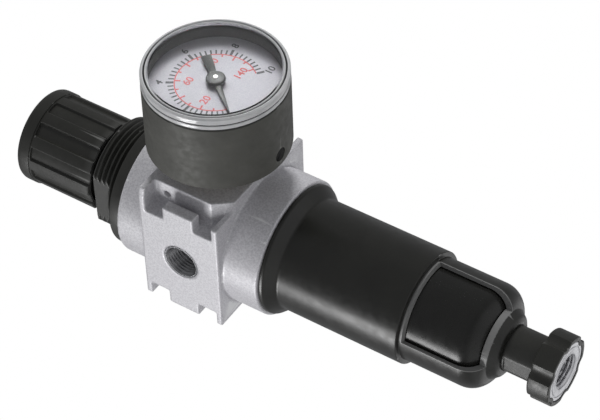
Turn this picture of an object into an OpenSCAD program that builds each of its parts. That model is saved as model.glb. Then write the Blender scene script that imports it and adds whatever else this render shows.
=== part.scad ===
// Compact filter regulator for compressed air: a push-lock knob, a spring and diaphragm regulator
// in a die-cast body, a dial gauge, and a guarded filter bowl with a manual drain.
// +Z is the knob's side, the gauge looks along -Y, and air flows from -X to +X. The origin is on the
// main axis, on the collar face that bears on a panel.

/* [Body] */
// Radius of the body's round barrel
barrel_r = 18.9; // [18.7:0.1:19.5]
// Distance from the panel face down to the top of the body
collar_h = 3.6; // [3.2:0.1:4]
// Height of the body
body_h = 43.9; // [43.6:0.1:44.4]
// Depth of the port axis below the panel face
port_depth = 24.8; // [24.6:0.1:25]
// Distance from the main axis to each port face
port_reach = 20.1; // [20:0.1:22]
// Half height of the port block
block_half_h = 12.1; // [11.9:0.1:12.3]
// Reach of the clamp feet from the main axis
foot_reach = 17.6; // [17.2:0.1:18]
// Reach of the clamp notch floors from the main axis
notch_reach = 13.5; // [13.2:0.1:13.8]
// Thickness of each clamp foot
foot_t = 1.8; // [1.5:0.1:2.2]
// Half width of the tab between the clamp notches
tab_half_w = 4.7; // [4.2:0.1:5]
// Reach of the flat pad that the gauge screws into
pad_reach = 20.8; // [20.6:0.1:21.4]

/* [Ports] */
// Minor radius of the G1/8 threads
port_r = 4.28; // [4.2:0.01:4.4]
// Radius of the chamfer at a port's mouth
port_mouth_r = 5.1; // [4.9:0.1:5.4]
// Depth of the threaded ports
port_len = 9.1; // [8.5:0.1:9.5]

/* [Neck and bonnet] */
// Thread radius of the panel neck, M30 x 1.5
neck_r = 15; // [14.8:0.1:15.2]
// Length of the panel neck
neck_h = 8.2; // [8:0.1:9]
// Distance from the main axis to the neck's flat
neck_flat = 12.7; // [12.5:0.1:13.5]
// Length of neck that the flat takes
neck_flat_h = 5.4; // [4:0.1:6]
// Radius of the bonnet collar
collar_r = 17.8; // [17.6:0.1:18.2]
// Radius of the round hub inside the knob
hub_r = 10.3; // [10.2:0.1:10.4]
// Height of the top of the hub
hub_top = 22; // [21.9:0.1:22.1]

/* [Knob] */
// Radius of the knob's grip
grip_r = 12.9; // [12.7:0.1:13.2]
// Radius of the knob's end rim
rim_r = 13.2; // [13:0.1:13.6]
// Height of the knob's open end, when it is pulled out
knob_bottom = 10.6; // [10.5:0.1:10.8]
// Height of the knob's end face, when it is pulled out
knob_top = 34.4; // [34:0.1:35]
// Number of recessed grip panels
panels = 11; // [9:1:13]
// Number of locking teeth
lock_teeth = 20; // [16:2:22]

/* [Regulator] */
// Radius of the adjusting screw
screw_r = 4; // [3.9:0.1:4]
// Coil radius of the control spring, to the middle of the wire
spring_r = 6.9; // [6.8:0.1:7]
// Wire thickness of the control spring
spring_wire = 2; // [1.6:0.1:2]
// Turns of the control spring
spring_turns = 5.5; // [4.5:0.5:6]
// Outer radius of the diaphragm
diaphragm_r = 16.2; // [16:0.1:16.3]
// Radius of the valve orifice
orifice_r = 2.6; // [2.4:0.1:2.7]

/* [Filter and bowl] */
// Outer radius of the filter element
filter_r = 9.5; // [9:0.1:10]
// Length of the filter element
filter_h = 26; // [20:1:30]
// Outer radius of the inner bowl
bowl_r = 12.8; // [12.7:0.1:12.9]
// Wall thickness of the inner bowl
bowl_t = 1.6; // [1.4:0.1:1.7]
// Radius of the guard's collar, where it is gripped
guard_collar_r = 18.1; // [17.8:0.1:18.4]
// Radius of the guard's upper part
guard_r = 15.5; // [15.4:0.1:15.8]
// Radius of the guard's two lower ribs
rib_r = 14.15; // [14.1:0.05:14.4]
// Radius of the rounding at the ribs' lower ends
rib_round = 6.2; // [6:0.1:6.6]
// Radius of the disc that joins the ribs
guard_end_r = 9.73; // [9.6:0.01:9.9]
// Depth of that disc's edge below the panel face
guard_end = 109.6; // [109.4:0.1:109.8]
// Angle that each of the two windows takes
window_angle = 105; // [90:1:110]
// Direction of the windows, turned from the gauge towards the inlet
window_turn = 34; // [0:1:90]

/* [Drain] */
// Radius of the drain neck
drain_neck_r = 6.15; // [6.1:0.05:6.4]
// Radius of the drain knob's lobes
drain_knob_r = 9.4; // [9.2:0.1:9.6]
// Number of lobes on the drain knob
drain_lobes = 6; // [6:1:10]

/* [Gauge] */
// Radius of the gauge case
gauge_r = 18.9; // [18.7:0.1:19.2]
// Distance from the main axis to the back of the gauge case
gauge_back = 27.7; // [27.5:0.1:28]
// Distance from the main axis to the front of the gauge lens
gauge_front = 52.3; // [52.1:0.1:53]
// Length of the pointer from the hub's centre to its tip
pointer_len = 12.3; // [11:0.1:13]
// Tooth size of the gauge movement
gear_module = 0.2; // [0.2:0.01:0.2]
// Teeth on the pointer's pinion
pinion_teeth = 10; // [10:1:10]
// Teeth that the sector gear would have as a full circle
sector_teeth = 90; // [90:1:90]

/* [Hidden] */
$fn = 96;
// Overshoot of a cut, so that it clears the surface it starts from
cut = 0.1;
// Gap between fixed round parts that fit together
fit_gap = 0.05;
// Gap between parts that are pressed or screwed together
close_gap = 0.03;

// A relief ring under the neck's flat leaves the first threads whole
neck_relief_r = neck_r - 0.9;
neck_relief_h = 0.4;
neck_relief_bottom = neck_h - neck_flat_h - neck_relief_h;

body_top = -collar_h;
body_bottom = body_top - body_h;
port_z = -port_depth;
block_top = port_z + block_half_h;
block_bottom = port_z - block_half_h;

// The stepped bore down the middle of the body
bonnet_bore_r = 16.5;
ledge_z = -12.1;
chamber_r = 12.5;
chamber_floor = -15.5;
seat_bore_r = 5.05;
seat_floor = -20.5;
valve_bore_r = 6.5;
bowl_roof = -37;
seal_bore_r = 14;
seal_bore_bottom = -41;
thread_bore_r = 16.6;
passage_x = 11.5;
passage_r = 2.2;
gauge_passage_r = 1.5;
gauge_passage_at = 13.2;
gauge_port_end = 11.8;
// The passages open into the chamber through the edge of its ledge
passage_top = -11.4;
pad_half_w = 15;

// The bonnet and what slides in it
skirt_r = 16.4;
skirt_bottom = -10.5;
pocket_af = 16.4;
pocket_bottom = -2;
bonnet_bore = 12.4;
hub_roof = 19;
journal_gap = 0.06;
nut_af = 16;
nut_bottom = 13;
nut_top = 17;
flange_r = 6.5;
flange_bottom = 17.6;
screw_bottom = -1;
screw_head_af = 10;
screw_head_top = 29.5;

// The locking teeth, which mesh when the knob is pushed in
lock_ring_r = 11;
lock_tooth_w = 1.35;
lock_ring_h = 2;
lock_tooth_inset = 0.2;

// The knob
knob_bore_r = 11.3;
knob_bore_top = 24.4;
knob_socket_af = 10.3;
knob_socket_top = 32;
rim_bottom = 30.4;
panel_top = 30.1;
panel_depth = 0.6;
panel_angle = 17;
panel_start = 4.5;
rim_round = 1.2;

// The diaphragm and its plate
rim_t = 1.6;
web_t = 0.8;
web_top = -9.4;
plate_r = 9.2;
spring_foot = -7.6;
plate_boss_r = 5.7;
plate_boss_top = -5.6;
hub_hole_r = 2.6;
hub_disc_r = 7;
hub_disc_bottom = -11.7;
hub_stem_r = 2.5;
hub_stem_top = -5.2;
relief_r = 0.8;

// The valve under the diaphragm
lip_z = -21;
pin_r = 1.2;
seal_bottom = -22.4;
seal_r = 4.2;
plug_r = 4.6;
plug_bottom = -28;
valve_stem_r = 2.2;
valve_stem_bottom = -33;
valve_spring_r = 3.4;
valve_spring_wire = 0.8;
valve_spring_turns = 4.5;
guide_r = 6.4;
guide_top = -30;
guide_cup_r = 4.9;
guide_floor = -34;
guide_bore_r = 2.28;
guide_bore_bottom = -35.6;
guide_hole_r = 0.8;
guide_hole_at = 3.75;

// The filter stack
baffle_hub_r = 8;
baffle_bore_r = 6;
baffle_rim_r = 10.8;
baffle_rim_t = 1.5;
baffle_bottom = -44;
vanes = 8;
filter_bore_r = 6.5;
filter_bottom = baffle_bottom - filter_h;
retainer_r = 10.5;
retainer_t = 3;
stud_r = 2;
stud_gap = 0.04;
filter_nut_af = 7;
filter_nut_t = 3;
stud_bottom = filter_bottom - retainer_t - filter_nut_t - 1;

// The inner bowl
lip_r = 13.7;
lip_top = -38.2;
groove_top = -39.05;
groove_bottom = -40.95;
groove_r = 12.2;
seal_mid_z = -40;
seal_mid_r = 13.1;
seal_wire_r = 0.85;
bowl_flange_r = 15.2;
bowl_flange_top = -42;
bowl_flange_bottom = -44.5;
bowl_bottom = -108.2;
bowl_corner = 5.5;
drain_hole_r = 4.05;

// The bowl guard
guard_thread_r = 16.5;
guard_top = -41.2;
guard_collar_top = body_bottom - 0.1;
guard_collar_bottom = -48.3;
guard_shoulder_r = 3.2;
guard_recess_r = 15.4;
guard_recess_floor = bowl_flange_bottom;
guard_gap = 0.3;
guard_bore_r = bowl_r + guard_gap;
guard_floor = bowl_bottom - guard_gap;
rib_top = -87;
// How far the ribs' rounding turns before it meets the disc, and the height where it starts
rib_turn = acos((guard_end_r - rib_r + rib_round) / rib_round);
rib_bottom = -guard_end + rib_round * sin(rib_turn);
// The disc ends in a cone round the drain neck
cone_r = 7;
cone_bottom = -112;
window_top = -87.1;
window_slope = 1.2;

// The drain
neck_bottom = -120.5;
neck_spigot_r = 4;
spigot_top = -100.6;
drain_nut_af = 11;
drain_nut_top = bowl_bottom + bowl_t + 2.1;
drain_orifice_r = 1.2;
drain_cavity_r = 3.1;
drain_cavity_top = -104;
drain_thread_r = 4.1;
drain_thread_top = -112;
drain_seal_r = 2.3;
drain_seal_t = 1.2;
drain_pin_r = 1.8;
drain_pin_bottom = -119;
drain_shoulder_r = 2.7;
drain_shoulder_bottom = -113.4;
drain_shoulder_t = 1.2;
sleeve_r = 4.03;
sleeve_bore_r = 1.87;
drain_knob_top = -120.8;
drain_knob_bottom = -127;
drain_valley = 0.8;
insert_flange_r = 8.1;
insert_flange_top = -125.2;
insert_r = 5.9;
insert_top = -121.6;
neck_facet = 5.7;
neck_facet_top = cone_bottom - 0.6;

// The gauge, measured outwards from the main axis
square_af = 11;
stem_r = 4.2;
stem_end = 13.6;
washer_r = 6.4;
washer_t = 1.2;
case_floor = gauge_back + 1.6;
case_chamfer = 0.6;
case_neck_r = 5;
case_bore_r = 16.6;
dial_back = 45.9;
dial_t = 0.6;
dial_r = 17.2;
case_mouth_r = 17.6;
case_front = 48.4;
lens_skirt_r = 17.5;
lens_bore_r = 16.9;
lens_back = 50.3;
lens_edge_round = 0.8;
vent_r = 2;
vent_at = 32;
block_front = 36;
tube_at = 33;
tube_half_h = 1.9;
tube_r = 13.2;
tube_half_t = 0.75;
tube_wall = 0.3;
tube_sweep = 240;
plate_t = 0.8;
upper_plate = 42;
pillar_r = 1;
arbor_r = 0.6;
arbor_bore_r = 0.65;
gear_back = 38.6;
gear_t = 1.2;
pinion_r = gear_module * pinion_teeth / 2;
sector_r = gear_module * sector_teeth / 2;
sector_drop = pinion_r + sector_r + 0.02;
sector_rest = 15;
tail_len = 2.8;
link_back = 40.2;
link_t = 0.6;
link_w = 1.4;
link_pin_r = 0.4;
link_pin_end = link_back + link_t + 0.3;
// The link's outer pin sits a little inside the tube's middle line, halfway along its tip
tip_len = 3;
tip_pin_r = tube_r - 0.2;
link_hole_r = 0.56;
pointer_back = 47.2;
pointer_hub_r = 2.5;
pointer_hub_t = 1.1;
pointer_t = 0.4;
pointer_tail = 9.4;
pointer_rest = -130;

// ---- shared shapes ----

// A round bar between two heights
module rod(r, bottom, top) {
    translate([0, 0, bottom]) cylinder(r = r, h = top - bottom);
}

// A round bar with a hole through it
module ring(r, hole_r, bottom, top) {
    difference() {
        rod(r, bottom, top);
        rod(hole_r, bottom - cut, top + cut);
    }
}

// A hexagonal bar, given by the distance across its flats
module hex_rod(flats, bottom, top) {
    translate([0, 0, bottom]) cylinder(r = flats / 2 / cos(30), h = top - bottom, $fn = 6);
}

// A bar along X from one place to another, at a height
module bar_x(r, from, to, z) {
    translate([from, 0, z]) rotate([0, 90, 0]) cylinder(r = r, h = to - from);
}

// A block given by its two corners
module block(low, high) {
    translate(low) cube(high - low);
}

// Points along an arc in a turned outline
function arc(cx, cz, r, from, to, steps = 10) =
    [for (i = [0:steps]) let(a = from + (to - from) * i / steps) [cx + r * cos(a), cz + r * sin(a)]];

// Turns an outline of radii and heights about the axis
module turned(points) {
    rotate_extrude() polygon(points);
}

// Places a gauge part: its local Z runs out of the body towards the reader, and local Y is up
module gauge_frame() {
    translate([0, 0, port_z]) rotate([90, 0, 0]) children();
}

// A wire wound into a coil, with flat ends, between two heights
module coil(r, wire, turns, bottom, top) {
    sides = 8;
    steps = 20;
    count = round(turns * steps);
    rise = top - bottom - wire;
    // The first and last turn lie flat against their seats
    dead = steps;
    function height(i) = bottom + wire / 2 + rise * min(max(i - dead * 0.75, 0), count - dead * 1.5)
        / (count - dead * 1.5);
    centres = [for (i = [0:count]) height(i)];
    points = [for (i = [0:count]) for (j = [0:sides - 1])
        let(a = 360 * i / steps, b = 360 * j / sides, radial = r + wire / 2 * cos(b))
        [radial * cos(a), radial * sin(a), centres[i] + wire / 2 * sin(b)]];
    skin = [for (i = [0:count - 1]) for (j = [0:sides - 1])
        let(k = (j + 1) % sides)
        [i * sides + j, i * sides + k, (i + 1) * sides + k, (i + 1) * sides + j]];
    start = [[for (j = [0:sides - 1]) sides - 1 - j]];
    finish = [[for (j = [0:sides - 1]) count * sides + j]];
    polyhedron(points = points, faces = concat(skin, start, finish), convexity = 10);
}

// ---- body ----

// The port block with its clamp feet, and the flat pad behind the gauge
module body_outside() {
    rod(barrel_r, body_bottom, body_top);
    block([-port_reach, -notch_reach, block_bottom], [port_reach, notch_reach, block_top]);
    for (end = [block_bottom, block_top - foot_t])
        block([-port_reach, -foot_reach, end], [port_reach, foot_reach, end + foot_t]);
    tab_inset = 3.2;
    for (side = [-1, 1])
        block([side * port_reach - (side > 0 ? tab_inset : 0), -foot_reach, port_z - tab_half_w],
            [side * port_reach + (side > 0 ? 0 : tab_inset), foot_reach, port_z + tab_half_w]);
    gauge_pad();
}

// The pad's outline narrows towards the bowl, where its corners are cut off
module gauge_pad() {
    corner_z = -32;
    end_half_w = 11.3;
    rotate([90, 0, 0]) linear_extrude(pad_reach)
        polygon([[-pad_half_w, block_top], [pad_half_w, block_top], [pad_half_w, corner_z],
            [end_half_w, block_bottom], [-end_half_w, block_bottom], [-pad_half_w, corner_z]]);
    // The upper foot runs on across the pad, with its two ends sloped
    foot_edge = 19.4;
    foot_root = foot_reach - 1;
    translate([0, 0, block_top - foot_t]) linear_extrude(foot_t)
        polygon([[-port_reach, -foot_root], [-port_reach, -foot_reach], [-foot_edge, -pad_reach],
            [foot_edge, -pad_reach], [port_reach, -foot_reach], [port_reach, -foot_root]]);
}

module body_bores() {
    rod(bonnet_bore_r, ledge_z, body_top + cut);
    rod(chamber_r, chamber_floor, ledge_z + cut);
    rod(seat_bore_r, seat_floor - cut, chamber_floor + cut);
    rod(valve_bore_r, bowl_roof - cut, seat_floor);
    rod(seal_bore_r, seal_bore_bottom, bowl_roof);
    rod(thread_bore_r, body_bottom - cut, seal_bore_bottom);
}

module body_ports() {
    port_end = port_reach - port_len;
    mouth_depth = port_mouth_r - port_r;
    for (turn = [0, 180]) rotate([0, 0, turn]) {
        bar_x(port_r, port_end, port_reach + cut, port_z);
        translate([port_reach - mouth_depth, 0, port_z]) rotate([0, 90, 0])
            cylinder(r1 = port_r, r2 = port_mouth_r + cut, h = mouth_depth + cut);
    }
    // Inlet to the bowl, and the diaphragm chamber to the outlet
    translate([-passage_x, 0, 0]) rod(passage_r, bowl_roof - cut, port_z);
    translate([passage_x, 0, 0]) rod(passage_r, port_z, passage_top);
    // The gauge port and its bleed passage
    gauge_frame() rod(port_r, gauge_port_end, pad_reach + cut);
    translate([0, -gauge_passage_at, 0]) rod(gauge_passage_r, port_z, passage_top);
}

// A small drilled hole in each side wall of the pad
module pin_holes() {
    hole_r = 0.95;
    hole_depth = 3;
    hole_y = -17.1;
    hole_z = -18.2;
    for (side = [-1, 1])
        translate([side * pad_half_w, hole_y, hole_z]) rotate([0, side * 90, 0])
            rod(hole_r, -hole_depth, cut);
}

module body() {
    color([0.72, 0.71, 0.73]) difference() {
        body_outside();
        body_bores();
        body_ports();
        pin_holes();
    }
}

// ---- bonnet, knob and screw ----

module bonnet() {
    color([0.16, 0.16, 0.15]) difference() {
        union() {
            rod(skirt_r, skirt_bottom, body_top);
            rod(collar_r, body_top, 0);
            rod(neck_r, 0, neck_relief_bottom);
            rod(neck_relief_r, 0, neck_h);
            rod(neck_r, neck_h - neck_flat_h, neck_h);
            rod(hub_r, neck_h, hub_top);
            for (i = [0:lock_teeth - 1]) rotate([0, 0, (i + 0.5) * 360 / lock_teeth])
                block([hub_r - 1, -lock_tooth_w / 2, neck_h],
                    [lock_ring_r, lock_tooth_w / 2, neck_h + lock_ring_h]);
        }
        rod(bonnet_bore, skirt_bottom - cut, pocket_bottom);
        hex_rod(pocket_af, pocket_bottom - cut, hub_roof);
        rod(screw_r + journal_gap, hub_roof - cut, hub_top + cut);
        block([-neck_r - cut, -neck_r, neck_h - neck_flat_h], [-neck_flat, neck_r, neck_h + cut]);
    }
}

module knob_panels() {
    inner = grip_r - panel_depth;
    outward = 3;
    for (i = [0:panels - 1])
        rotate([0, 0, -90 - panel_start - panel_angle / 2 - i * 360 / panels])
            rotate_extrude(angle = panel_angle)
                translate([inner, knob_bottom - cut]) square([outward, panel_top - knob_bottom + cut]);
}

module knob() {
    tooth_inner = hub_r + 0.25;
    color([0.15, 0.15, 0.14]) union() {
        difference() {
            turned(concat(
                [[0, knob_bottom], [grip_r, knob_bottom], [grip_r, rim_bottom], [rim_r, rim_bottom]],
                arc(rim_r - rim_round, knob_top - rim_round, rim_round, 0, 90), [[0, knob_top]]));
            knob_panels();
            rod(knob_bore_r, knob_bottom - cut, knob_bore_top);
            hex_rod(knob_socket_af, knob_bore_top - cut, knob_socket_top);
        }
        for (i = [0:lock_teeth - 1]) rotate([0, 0, i * 360 / lock_teeth])
            block([tooth_inner, -lock_tooth_w / 2, knob_bottom + lock_tooth_inset],
                [knob_bore_r + 0.3, lock_tooth_w / 2, knob_bottom + lock_tooth_inset + lock_ring_h]);
    }
}

module adjusting_screw() {
    head_bottom = hub_top + 0.2;
    color([0.75, 0.75, 0.72]) union() {
        rod(screw_r, screw_bottom, head_bottom);
        rod(flange_r, flange_bottom, hub_roof);
        hex_rod(screw_head_af, head_bottom, screw_head_top);
    }
}

module spring_seat_nut() {
    color([0.7, 0.7, 0.66]) difference() {
        hex_rod(nut_af, nut_bottom, nut_top);
        rod(screw_r + fit_gap, nut_bottom - cut, nut_top + cut);
    }
}

module control_spring() {
    color([0.6, 0.6, 0.62]) coil(spring_r, spring_wire, spring_turns, spring_foot, nut_bottom);
}

// ---- diaphragm and valve ----

module diaphragm() {
    web_bottom = web_top - web_t;
    rim_top = ledge_z + rim_t;
    web_r = plate_r + 0.4;
    step_r = 12.2;
    lean = 0.2;
    color([0.12, 0.12, 0.12]) turned([[hub_hole_r, web_top], [web_r, web_top], [step_r, rim_top],
        [diaphragm_r, rim_top], [diaphragm_r, ledge_z], [step_r - lean, ledge_z],
        [web_r - lean, web_bottom], [hub_hole_r, web_bottom]]);
}

module diaphragm_plate() {
    color([0.72, 0.66, 0.42]) difference() {
        union() {
            rod(plate_r, web_top, spring_foot);
            rod(plate_boss_r, spring_foot, plate_boss_top);
        }
        rod(hub_hole_r, web_top - cut, plate_boss_top + cut);
    }
}

module diaphragm_hub() {
    color([0.8, 0.72, 0.4]) difference() {
        union() {
            rod(hub_disc_r, hub_disc_bottom, web_top - web_t);
            rod(hub_stem_r, web_top - web_t - cut, hub_stem_top);
        }
        rod(relief_r, hub_disc_bottom - cut, hub_stem_top + cut);
    }
}

module valve_seat() {
    lip_w = 0.9;
    color([0.8, 0.7, 0.38]) difference() {
        union() {
            rod(seat_bore_r - fit_gap, seat_floor, chamber_floor);
            ring(orifice_r + lip_w, orifice_r, lip_z, seat_floor + cut);
        }
        rod(orifice_r, lip_z - cut, chamber_floor + cut);
    }
}

module valve_pin() {
    sunk = 0.4;
    color([0.78, 0.78, 0.76]) rod(pin_r, lip_z - sunk, hub_disc_bottom);
}

module valve_plug() {
    color([0.8, 0.7, 0.38]) union() {
        rod(plug_r, plug_bottom, seal_bottom);
        rod(valve_stem_r, valve_stem_bottom, plug_bottom);
    }
}

module valve_seal() {
    color([0.12, 0.12, 0.12]) ring(seal_r, pin_r + close_gap, seal_bottom, lip_z);
}

module valve_spring() {
    color([0.75, 0.75, 0.76])
        coil(valve_spring_r, valve_spring_wire, valve_spring_turns, guide_floor, plug_bottom);
}

module valve_guide() {
    color([0.82, 0.82, 0.78]) difference() {
        rod(guide_r, bowl_roof, guide_top);
        rod(guide_cup_r, guide_floor, guide_top + cut);
        rod(guide_bore_r, guide_bore_bottom, guide_floor + cut);
        for (i = [0:5]) rotate([0, 0, i * 60]) translate([guide_hole_at, 0, 0])
            rod(guide_hole_r, bowl_roof - cut, guide_floor + cut);
    }
}

// ---- filter ----

module baffle() {
    rim_top = baffle_bottom + baffle_rim_t;
    slot_w = 2.4;
    slot_r = baffle_hub_r + 0.4;
    vane_t = 1;
    vane_h = 2;
    color([0.2, 0.2, 0.2]) difference() {
        union() {
            rod(baffle_hub_r, baffle_bottom, bowl_roof);
            rod(baffle_rim_r, baffle_bottom, rim_top);
            for (i = [0:vanes - 1]) rotate([0, 0, i * 360 / vanes])
                block([baffle_hub_r - vane_t / 2, -vane_t / 2, rim_top - cut],
                    [baffle_rim_r, vane_t / 2, rim_top + vane_h]);
        }
        rod(baffle_bore_r, baffle_bottom - cut, bowl_roof + cut);
        for (i = [0:vanes - 1]) rotate([0, 0, (i + 0.5) * 360 / vanes])
            block([slot_r, -slot_w / 2, baffle_bottom - cut],
                [baffle_rim_r + cut, slot_w / 2, rim_top + cut]);
    }
}

module filter_element() {
    color([0.93, 0.92, 0.88]) ring(filter_r, filter_bore_r, filter_bottom, baffle_bottom);
}

module filter_retainer() {
    top = filter_bottom;
    bottom = top - retainer_t;
    edge_z = top - 1.2;
    foot_r = retainer_r - 2.4;
    color([0.2, 0.2, 0.2]) difference() {
        turned([[0, top], [retainer_r, top], [retainer_r, edge_z], [foot_r, bottom], [0, bottom]]);
        rod(stud_r + stud_gap, bottom - cut, top + cut);
    }
}

module filter_stud() {
    color([0.78, 0.78, 0.76]) rod(stud_r, stud_bottom, bowl_roof);
}

module filter_nut() {
    top = filter_bottom - retainer_t;
    color([0.75, 0.75, 0.73]) difference() {
        hex_rod(filter_nut_af, top - filter_nut_t, top);
        rod(stud_r + stud_gap, top - filter_nut_t - cut, top + cut);
    }
}

// ---- bowl ----

module bowl_seal() {
    color([0.1, 0.1, 0.1]) rotate_extrude()
        translate([seal_mid_r, seal_mid_z]) circle(r = seal_wire_r, $fn = 32);
}

module inner_bowl() {
    inside = bowl_r - bowl_t;
    inner_corner = bowl_corner - bowl_t;
    floor_z = bowl_bottom + bowl_t;
    corner_x = bowl_r - bowl_corner;
    corner_z = bowl_bottom + bowl_corner;
    color([0.13, 0.13, 0.12]) turned(concat(
        [[inside, lip_top], [lip_r, lip_top], [lip_r, groove_top], [groove_r, groove_top],
            [groove_r, groove_bottom], [lip_r, groove_bottom], [lip_r, bowl_flange_top],
            [bowl_flange_r, bowl_flange_top], [bowl_flange_r, bowl_flange_bottom],
            [bowl_r, bowl_flange_bottom]],
        arc(corner_x, corner_z, bowl_corner, 0, -90),
        [[drain_hole_r, bowl_bottom], [drain_hole_r, floor_z]],
        arc(corner_x, corner_z, inner_corner, -90, 0)));
}

// The windows cut through the lower half, down to the disc's edge
module guard_windows() {
    bottom = -guard_end - 1;
    outside = guard_r + 1;
    outside_top = window_top + 0.4;
    for (turn = [0, 180]) rotate([0, 0, -90 - window_turn - window_angle / 2 + turn])
        rotate_extrude(angle = window_angle)
            polygon([[guard_end_r, window_top - window_slope * 2], [guard_bore_r, window_top - window_slope],
                [outside, outside_top], [outside, bottom], [guard_end_r, bottom]]);
}

module bowl_guard() {
    // The rounded shoulder stops where it meets the upper wall
    shoulder_turn = acos((guard_r - guard_collar_r + guard_shoulder_r) / guard_shoulder_r);
    hole_r = drain_neck_r + fit_gap;
    step = 0.2;
    color([0.12, 0.12, 0.11]) difference() {
        turned(concat(
            [[guard_bore_r, guard_recess_floor], [guard_recess_r, guard_recess_floor],
                [guard_recess_r, guard_top], [guard_thread_r, guard_top], [guard_thread_r, guard_collar_top],
                [guard_collar_r, guard_collar_top], [guard_collar_r, guard_collar_bottom]],
            arc(guard_collar_r - guard_shoulder_r, guard_collar_bottom, guard_shoulder_r, 0, -shoulder_turn),
            [[guard_r, rib_top], [rib_r, rib_top - step]],
            arc(rib_r - rib_round, rib_bottom, rib_round, 0, -rib_turn),
            [[cone_r, cone_bottom], [hole_r, cone_bottom], [hole_r, guard_floor]],
            arc(bowl_r - bowl_corner, bowl_bottom + bowl_corner, bowl_corner + guard_gap, -90, 0)));
        guard_windows();
    }
}

// ---- drain ----

module drain_neck() {
    color([0.16, 0.16, 0.15]) difference() {
        union() {
            rod(drain_neck_r, neck_bottom, bowl_bottom);
            rod(neck_spigot_r, bowl_bottom - cut, spigot_top);
        }
        rod(drain_orifice_r, drain_cavity_top - cut, spigot_top + cut);
        rod(drain_cavity_r, drain_thread_top, drain_cavity_top);
        rod(drain_thread_r, neck_bottom - cut, drain_thread_top);
        for (turn = [0, 180]) rotate([0, 0, turn])
            block([neck_facet, -drain_neck_r, neck_bottom - cut],
                [drain_neck_r + 1, drain_neck_r, neck_facet_top]);
    }
}

module drain_locknut() {
    bottom = bowl_bottom + bowl_t;
    color([0.75, 0.75, 0.73]) difference() {
        hex_rod(drain_nut_af, bottom, drain_nut_top);
        rod(neck_spigot_r + close_gap, bottom - cut, drain_nut_top + cut);
    }
}

module drain_pin() {
    color([0.78, 0.78, 0.76]) union() {
        rod(drain_pin_r, drain_pin_bottom, drain_cavity_top - drain_seal_t);
        rod(drain_shoulder_r, drain_shoulder_bottom, drain_shoulder_bottom + drain_shoulder_t);
    }
}

module drain_seal() {
    color([0.12, 0.12, 0.12]) rod(drain_seal_r, drain_cavity_top - drain_seal_t, drain_cavity_top);
}

// Lobes around the knob's edge, with shallow valleys between them
module drain_lobe_cuts() {
    valley_r = 3;
    valley_at = drain_knob_r + valley_r - drain_valley;
    for (i = [0:drain_lobes - 1]) rotate([0, 0, (i + 0.5) * 360 / drain_lobes])
        translate([valley_at, 0, 0]) rod(valley_r, drain_knob_bottom - cut, drain_knob_top + cut);
}

module drain_knob() {
    edge = 0.6;
    end_edge = 0.3;
    color([0.13, 0.13, 0.12]) difference() {
        union() {
            turned([[0, drain_knob_top], [drain_knob_r - edge, drain_knob_top],
                [drain_knob_r, drain_knob_top - edge], [drain_knob_r, drain_knob_bottom + end_edge],
                [drain_knob_r - end_edge, drain_knob_bottom], [0, drain_knob_bottom]]);
            rod(sleeve_r, drain_knob_top - cut, drain_shoulder_bottom);
        }
        drain_lobe_cuts();
        rod(sleeve_bore_r, insert_top - cut, drain_shoulder_bottom + cut);
        rod(insert_r + fit_gap, insert_flange_top - cut, insert_top);
        rod(insert_flange_r + fit_gap, drain_knob_bottom - cut, insert_flange_top);
    }
}

module drain_insert() {
    face = drain_knob_bottom + 0.15;
    mouth_h = port_mouth_r - port_r;
    color([0.7, 0.7, 0.72]) difference() {
        union() {
            rod(insert_flange_r, face, insert_flange_top);
            rod(insert_r, insert_flange_top - cut, insert_top);
        }
        rod(port_r, face - cut, insert_top + cut);
        translate([0, 0, face - cut]) cylinder(r1 = port_mouth_r + cut, r2 = port_r, h = mouth_h + cut);
    }
}

// ---- gauge ----

module gauge_seal() {
    color([0.12, 0.12, 0.12]) gauge_frame() ring(washer_r, stem_r + 0.1, pad_reach, pad_reach + washer_t);
}

module gauge_socket() {
    bleed_r = 0.8;
    bleed_top = -tube_r + 3.4;
    flats_back = pad_reach + washer_t;
    foot = -tube_r - 1.6;
    block_half_w = 3.5;
    block_top_y = 4;
    color([0.8, 0.7, 0.4]) gauge_frame() difference() {
        union() {
            rod(stem_r, stem_end, flats_back + cut);
            block([-square_af / 2, -square_af / 2, flats_back], [square_af / 2, square_af / 2, gauge_back]);
            rod(case_neck_r, gauge_back - cut, case_floor + cut);
            block([-block_half_w, foot, case_floor], [block_half_w, block_top_y, block_front]);
        }
        rod(bleed_r, stem_end - cut, tube_at);
        translate([0, bleed_top, tube_at]) rotate([-90, 0, 0]) cylinder(r = bleed_r, h = -bleed_top);
        bourdon_shape(fit_gap);
    }
}

// The case is a cup with a stepped mouth for the dial and the lens
module gauge_case() {
    color([0.24, 0.24, 0.23]) gauge_frame() difference() {
        turned([[case_neck_r + fit_gap, gauge_back], [gauge_r - case_chamfer, gauge_back],
            [gauge_r, gauge_back + case_chamfer], [gauge_r, case_front], [case_mouth_r, case_front],
            [case_mouth_r, dial_back], [case_bore_r, dial_back], [case_bore_r, case_floor],
            [case_neck_r + fit_gap, case_floor]]);
        translate([0, 0, vent_at]) rotate([90, 0, 0]) rod(vent_r, case_bore_r - 1, gauge_r + 1);
    }
}

module gauge_vent_plug() {
    flange_r = vent_r + 0.6;
    flange_t = 0.5;
    sunk = 0.15;
    // Where the flange's edge meets the case's curved wall
    seat = sqrt(case_bore_r ^ 2 - flange_r ^ 2) - fit_gap;
    color([0.08, 0.08, 0.08]) gauge_frame() translate([0, 0, vent_at]) rotate([90, 0, 0]) union() {
        rod(vent_r - fit_gap, seat - flange_t, gauge_r - sunk);
        rod(flange_r, seat - flange_t, seat);
    }
}

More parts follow.
